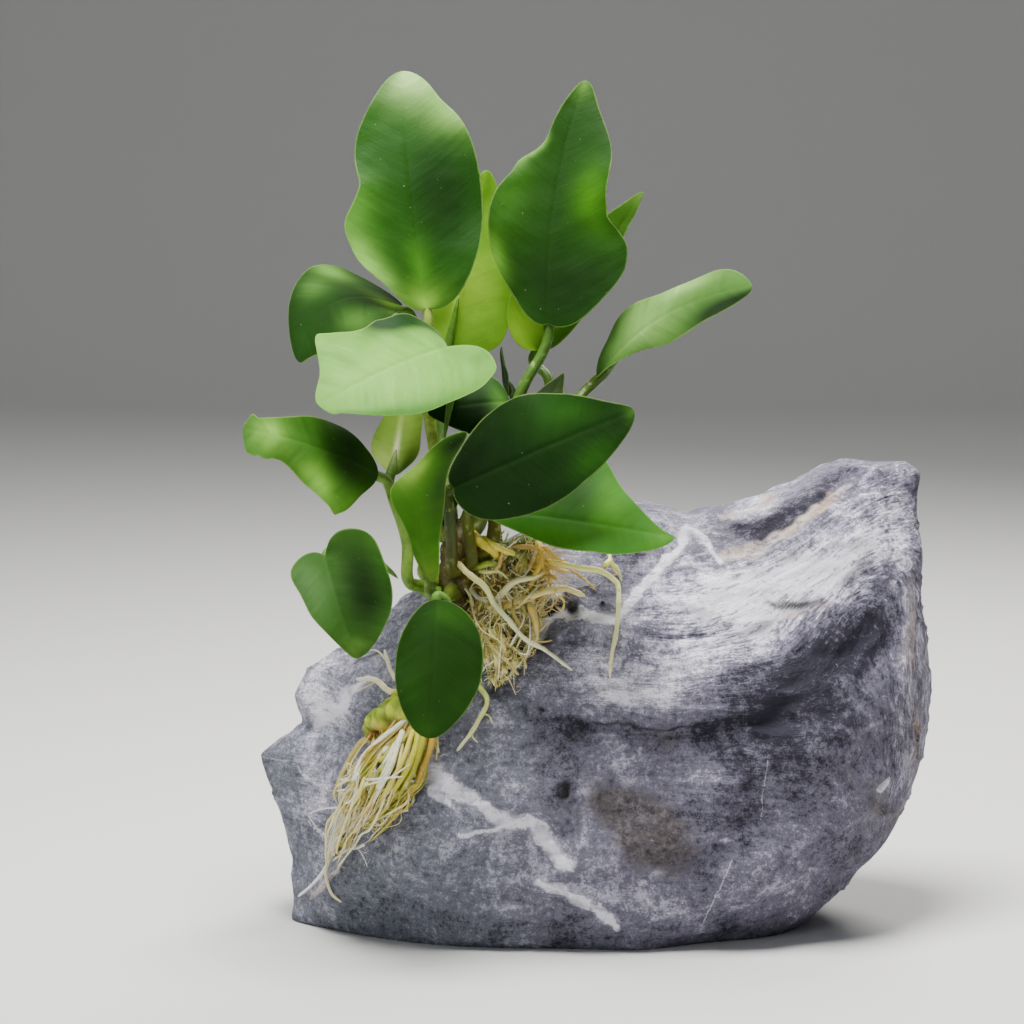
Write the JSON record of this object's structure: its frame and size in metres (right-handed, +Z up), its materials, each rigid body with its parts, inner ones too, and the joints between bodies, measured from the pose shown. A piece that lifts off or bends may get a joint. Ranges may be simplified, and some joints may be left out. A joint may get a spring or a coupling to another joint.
{
  "type": "aquarium plant on a stone",
  "caption": "Small anubias with its rhizome, roots, leaf stalks and blades, grown onto a grey veined boulder cut flat underneath.",
  "frame": {"origin": "on the stone's flat resting face, below the middle of the stone", "axes": "+X along the stone to its high shoulder, -Y to the front, the face that the plant creeps up, +Z up"},
  "size_m": [0.1358, 0.093, 0.1696],
  "materials": {
    "limestone": "rough, weathered, with white veins",
    "rhizome": "knobby, satin",
    "leaf": "waxy, satin",
    "stalk": "satin",
    "root": "matte"
  },
  "bodies": {
    "root": {"leaf_back_centre": "leaf", "leaf_back_right": "leaf", "leaf_centre": "leaf", "leaf_far_right": "leaf", "leaf_front_left": "leaf", "leaf_front_right": "leaf", "leaf_low_centre": "leaf", "leaf_low_left": "leaf", "leaf_low_right": "leaf", "leaf_mid_left": "leaf", "leaf_middle": "leaf", "leaf_top_left": "leaf", "leaf_top_right": "leaf", "leaf_upper_left": "leaf", "leaf_young_back": "leaf", "leaf_young_left": "leaf", "leaf_young_right": "leaf", "rhizome": "rhizome", "root_arching": "root", "root_bundle_low": "root", "root_left": "root", "root_left_thin": "root", "root_long_front": "root", "root_low_right": "root", "root_short_right": "root", "root_stub_right": "root", "root_tangle_top": "root", "stalk_back_centre": "stalk", "stalk_back_right": "stalk", "stalk_centre": "stalk", "stalk_far_right": "stalk", "stalk_front_left": "stalk", "stalk_front_right": "stalk", "stalk_low_centre": "stalk", "stalk_low_left": "stalk", "stalk_low_right": "stalk", "stalk_mid_left": "stalk", "stalk_middle": "stalk", "stalk_top_left": "stalk", "stalk_top_right": "stalk", "stalk_upper_left": "stalk", "stalk_young_back": "stalk", "stalk_young_left": "stalk", "stalk_young_right": "stalk", "stone": "limestone"}
  },
  "joints": []
}
